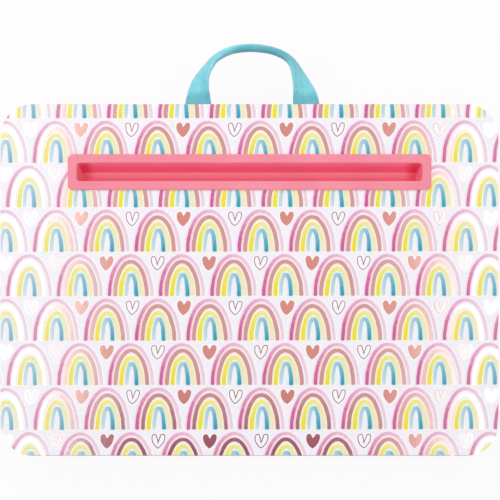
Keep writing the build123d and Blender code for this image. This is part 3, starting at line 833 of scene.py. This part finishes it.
def strap_line():
    """Smooth line through the stations, with its length so far; the seen width becomes a twist."""
    stations = []
    for x, y, seen, width, thick in STRAP:
        flat_share = (seen**2 - thick**2) / (width**2 - thick**2)
        stations.append(Vector((x, y, math.acos(math.sqrt(min(flat_share, 1))), width, thick)))
    last = len(stations) - 1
    fine = []
    for i in range(last):
        near = (stations[min(max(j, 0), last)] for j in (i - 1, i, i + 1, i + 2))
        before, a, b, after = near
        for step in range(24):
            t = step / 24
            fine.append(
                0.5 * (2 * a + (b - before) * t + (2 * before - 5 * a + 4 * b - after) * t**2
                       + (3 * a - before - 3 * b + after) * t**3)
            )
    fine.append(stations[-1])
    lengths = [0.0]
    for a, b in zip(fine, fine[1:]):
        lengths.append(lengths[-1] + math.dist(a[:2], b[:2]))
    return fine, lengths


def strap_stations(end, count):
    """Evenly spaced sections: middle, direction, twist, width, thickness, length so far."""
    fine, lengths = strap_line()
    found = []
    j = 0
    for i in range(count):
        wanted = end + (lengths[-1] - end - end) * i / (count - 1)
        while j < len(lengths) - 2 and lengths[j + 1] < wanted:
            j += 1
        t = (wanted - lengths[j]) / max(lengths[j + 1] - lengths[j], 1e-6)
        x, y, twist, width, thick = fine[j].lerp(fine[j + 1], t)
        a, b = fine[max(j - 2, 0)], fine[min(j + 3, len(fine) - 1)]
        along = Vector((b[0] - a[0], b[1] - a[1], 0)).normalized()
        found.append((Vector((x, y, FOLD_Z)), along, max(twist, 0), width, thick, wanted))
    return found


def make_strap(name, end, rings, skin):
    """Closed flat tube that follows the strap, a skin's depth inside it."""
    deselect()
    bpy.ops.mesh.primitive_cylinder_add(vertices=STRAP_ROUND, radius=1, depth=2)
    strap = settle(name)
    pick(strap, "EDGE", upright)
    bpy.ops.mesh.subdivide(number_cuts=rings - 2)
    leave_edit()
    sections = strap_stations(end, rings)
    places = strap.data.attributes.new("strap_place", "FLOAT_VECTOR", "POINT")
    rolls = strap.data.attributes.new("strap_roll", "FLOAT_VECTOR", "POINT")
    half_length = (sections[0][5] + sections[-1][5]) / 2
    for vert, spot, roll in zip(strap.data.vertices, places.data, rolls.data):
        ring = round((1 - vert.co.z) / 2 * (rings - 1))
        angle = math.atan2(vert.co.y, vert.co.x)
        centre, along, twist, width, thick, length = sections[ring]
        c, s = math.cos(angle), math.sin(angle)
        fullness = math.sin(twist)  # pressed flat at its ends, a soft roll in the hand
        across = math.copysign(abs(c) ** (0.42 + 0.5 * fullness), c)
        up = math.copysign(abs(s) ** (0.6 + 0.35 * fullness), s)
        half, rise = width / 2 - 2.5 * skin, thick / 2 - skin
        # the stitches pull the sleeve in, and it is cupped a little where it is twisted
        from_stitch = (1 - abs(across)) * half - STITCH_INSET
        rise *= 1 - 0.16 * math.exp(-(from_stitch / 0.8) ** 2) * (skin == 0)
        cup = 0.9 * math.sin(twist) * (1 - across**2) * (1 - fullness * 0.6)
        creases = 0.0
        if skin == 0:  # small creases where the cloth gathers beyond the fold
            gather = max(0, 1 - abs(centre.y - 161) / 8)
            creases = 0.22 * gather * math.sin(across * 9 + centre.x)
        outward = along.cross(Vector((0, 0, 1))) * -1
        # the outer face turns up, the inner edge stands
        lean = outward * math.cos(twist) - Vector((0, 0, 1)) * math.sin(twist)
        face = lean.cross(along)
        if face.z < 0:
            face.negate()
        spot.vector = (length, across * half, (1 - abs(across)) * half)
        offset = lean * across * half + face * (up * rise + creases - cup)
        seen_half = math.hypot(half * math.cos(twist), rise * fullness)
        # for the painted shade inside the roll: how far inward, how far from the strap's middle,
        # and how full it is
        roll.vector = (-offset.dot(outward) / seen_half, length - half_length, fullness)
        vert.co = (centre + offset) * MM
    pick(strap, "VERT", lambda at, _: True)
    bpy.ops.mesh.normals_make_consistent(inside=False)
    leave_edit()
    bpy.ops.object.shade_smooth()
    return strap


# ---- Cushion ----
SEAMS = (44.7, 16.0)  # heights of the two seams round the cushion
COVER_HALF, TABLE_HALF = (211.5, 148.0), (194, 131)  # half sizes, of the cover and where it rests
BLOWN_AT, MOST_BLOWN = 20, 5  # the frame at which it is full, and how far it may swell
ABOVE_ALL = 62


def cushion_depth(place):
    """How far inside the cover's packed outline a place is (negative), or outside it (positive)."""
    corner, bottom, top = 27.0, 18.0, 8.0
    x, y = abs(place.x) - (214.0 - corner), abs(place.y) - (150.5 - corner)
    plan = math.hypot(max(x, 0), max(y, 0)) + min(max(x, y), 0) - corner
    for height, radius in ((place.z, bottom), (CUSHION_TOP - place.z, top)):
        if height < radius and plan > -radius:
            return math.hypot(plan + radius, radius - height) - radius
    return max(plan, -place.z, place.z - CUSHION_TOP)


def make_cushion():
    """Plush cover, blown up by its beads, flat on both faces, pulled in at its seams."""
    x, y = COVER_HALF
    cover = block("cushion_cover", (-x, -y, 1.2), (x, y, CUSHION_TOP - 0.5))
    round_edges(cover, upright, 25, 10)
    round_edges(cover, lambda at, _: at.z > CUSHION_TOP - 1, 7, 4)
    round_edges(cover, lambda at, _: at.z < 1.6, 13, 6)
    cover.data.remesh_voxel_size = 0.004
    alone(cover)
    bpy.ops.object.voxel_remesh()
    rest = [vert.co.copy() for vert in cover.data.vertices]
    # the glue holds the top and the table holds the underside; the seams are drawn tight
    held = cover.vertex_groups.new(name="held")
    seams = cover.vertex_groups.new(name="seams")
    for vert in cover.data.vertices:
        x, y, z = vert.co / MM
        on_table = z < 3 and abs(x) < TABLE_HALF[0] and abs(y) < TABLE_HALF[1]
        if z > CUSHION_TOP - 2.5 or on_table:
            held.add([vert.index], 1.0, "ADD")
        for seam in SEAMS:
            if abs(z - seam) < 3.0:
                seams.add([vert.index], 1.0, "ADD")
    cloth = cover.modifiers.new("cloth", "CLOTH")
    cloth.settings.quality = 5
    cloth.settings.use_pressure = True
    cloth.settings.uniform_pressure_force = 14.0
    cloth.settings.vertex_group_mass = "held"
    cloth.settings.vertex_group_shrink = "seams"
    cloth.settings.shrink_min, cloth.settings.shrink_max = -0.02, 0.03
    cloth.settings.effector_weights.gravity = 0.0
    for number in range(1, BLOWN_AT + 1):
        bpy.context.scene.frame_set(number)
    alone(cover)
    bpy.ops.object.modifier_apply(modifier="cloth")
    bpy.context.scene.frame_set(1)
    for vert, start in zip(cover.data.vertices, rest):
        moved = vert.co - start
        if moved.length > MOST_BLOWN * MM:
            moved.length = MOST_BLOWN * MM
        vert.co = start + moved
    finish_with(cover, "SUBSURF", levels=1, render_levels=1)
    pull_in_seams(cover)
    # hollows for the tray's groove and the stapled strap ends
    low, high = (-154.4, TRAY_Y - 12.2, 47.6), (154.4, TRAY_Y + 12.2, ABOVE_ALL)
    combine(cover, block("hollow", low, high), "DIFFERENCE")
    for x in STRAP_ENDS:
        low, high = (x - 11.85, 116.9, 51.8), (x + 11.85, 170.0, ABOVE_ALL)
        combine(cover, block("hollow", low, high), "DIFFERENCE")
    smooth(cover, 50)
    return cover


def pull_in_seams(cover):
    """Draws the cloth in along its seams, gathers it beside them and lays soft folds in it."""
    low_seam, high_seam = SEAMS[1], SEAMS[0]
    normals = [vert.normal.copy() for vert in cover.data.vertices]
    for vert, normal in zip(cover.data.vertices, normals):
        place = vert.co / MM
        x, y, z = place
        if z > CUSHION_TOP - 0.3:
            continue
        wall = math.sqrt(max(0.0, 1 - normal.z**2))
        seam_depth = gather = 0.0
        for seam in SEAMS:
            height = z - seam - 0.5 * math.sin(x * 0.11 + y * 0.07)
            seam_depth += math.exp(-((height / 2.4) ** 2))
            # short creases run away from the seam, up and down
            beside = math.exp(-abs(height) / 8.0) * (1 - 0.6 * math.exp(-((height / 2.0) ** 2)))
            gather += beside * noise.noise(Vector((x / 6.0, y / 6.0, seam + height / 60)))
        if abs(x) > 190:  # where the two lengths of the band are joined
            seam_depth = max(seam_depth, 0.8 * math.exp(-((y / 2.0) ** 2)) * (z < high_seam))
        folds = 1.5 * noise.noise(Vector((x / 38, y / 38, z / 45)))
        folds += 0.6 * noise.noise(Vector((x / 15, y / 15, z / 24)))
        full = 0.0  # the band bellies out between its two seams
        if low_seam < z < high_seam:
            full = math.cos((z - sum(SEAMS) / 2) / (high_seam - low_seam) * math.pi)
        shift = (2.0 * gather + folds + 1.4 * full - 2.6 * seam_depth) * wall
        place += normal * shift
        # the cover keeps round its lining, within the room that it has under the board
        depth = cushion_depth(place)
        low, high = -1.6 - 1.2 * min(seam_depth, 1.0) * wall, 1.5
        for _ in range(2):
            place += normal * (max(min(depth, high), low) - depth)
            depth = cushion_depth(place)
        if z < 1.5:  # the underside rests flat, but for shallow dents
            place.z = max(0.0, 0.7 * folds)
        place.z = max(place.z, 0.0)
        vert.co = place * MM


# ---- Putting it together ----
set_up_studio()

interlining_felt = make_nonwoven("bonded_interlining", ("#DADCDD", "#F1F2F2"), 900.0)
liner_cloth = make_nonwoven("spunbonded_liner", ("#D9D6D8", "#F0EDEF"), 600.0)
# Medium-density fibreboard, pressed from fine wood fibres: matt brown with short pale fibres
fibreboard = make_plain(
    "pressed_fibreboard", "#B89468", 0.85, "TexNoise",
    {"Scale": 900.0, "Detail": 4.0, "Distortion": 1.5},
    stops=((0.3, "#9C7A50"), (0.55, "#B89468"), (0.75, "#CFB084")), relief=(0.4, 0.0002),
)
# Hot-melt adhesive, EVA, pressed flat while soft: milky amber and slightly uneven
hot_melt = make_plain(
    "eva_hot_melt", "#EFE3C6", 0.3, "TexNoise", {"Scale": 160.0, "Detail": 2.0},
    stops=((0.35, "#E4D3AC"), (0.7, "#F4ECD6")), relief=(0.5, 0.0003),
    transmission_weight=0.25, ior=1.48,
)
# Expanded polystyrene beads, 3 to 4 mm: white, matt, each one a little ball, with painted shade in
# the crevices between them
beads = make_plain(
    "expanded_polystyrene_beads", "#F4F5F6", 0.6, "TexVoronoi", {"Scale": 280.0, "Randomness": 0.8},
    stops=((0.0, "#FAFAFB"), (0.7, "#DADDE1")), relief=(1.0, 0.0015), hollow=True,
)
for name, material in (
    ("printed_film", make_print()),
    ("top_board", fibreboard),
    ("backing_paper", make_backing()),
    ("glue_lines", hot_melt),
    ("handle_staples", make_staple_wire()),
    ("liner_top_panel", liner_cloth),
    ("liner_bottom_panel", liner_cloth),
    ("bead_filling", beads),
):
    wear(nodes[name], material)

band = wear(make_edge_band(), make_edge_plastic())
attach(band, "root")
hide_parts("edge_band")

tray = wear(make_tray(), make_tray_plastic())
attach(tray, "root")
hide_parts("slot_tray")

strap = wear(make_strap("carry_strap", 0, STRAP_RINGS, 0.0), make_strap_cloth())
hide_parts("handle_loop", "handle_end_left", "handle_end_right")
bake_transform(strap)

interlining = make_strap("strap_interlining", INTERLINING_END, INTERLINING_RINGS, INTERLINING_SKIN)
wear(interlining, interlining_felt)
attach(interlining, "handle")
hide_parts("handle_interlining")

cushion = wear(make_cushion(), make_plush())
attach(cushion, "root")
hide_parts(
    "cushion_top_panel", "cushion_band_front", "cushion_band_rear", "cushion_bottom_panel"
)
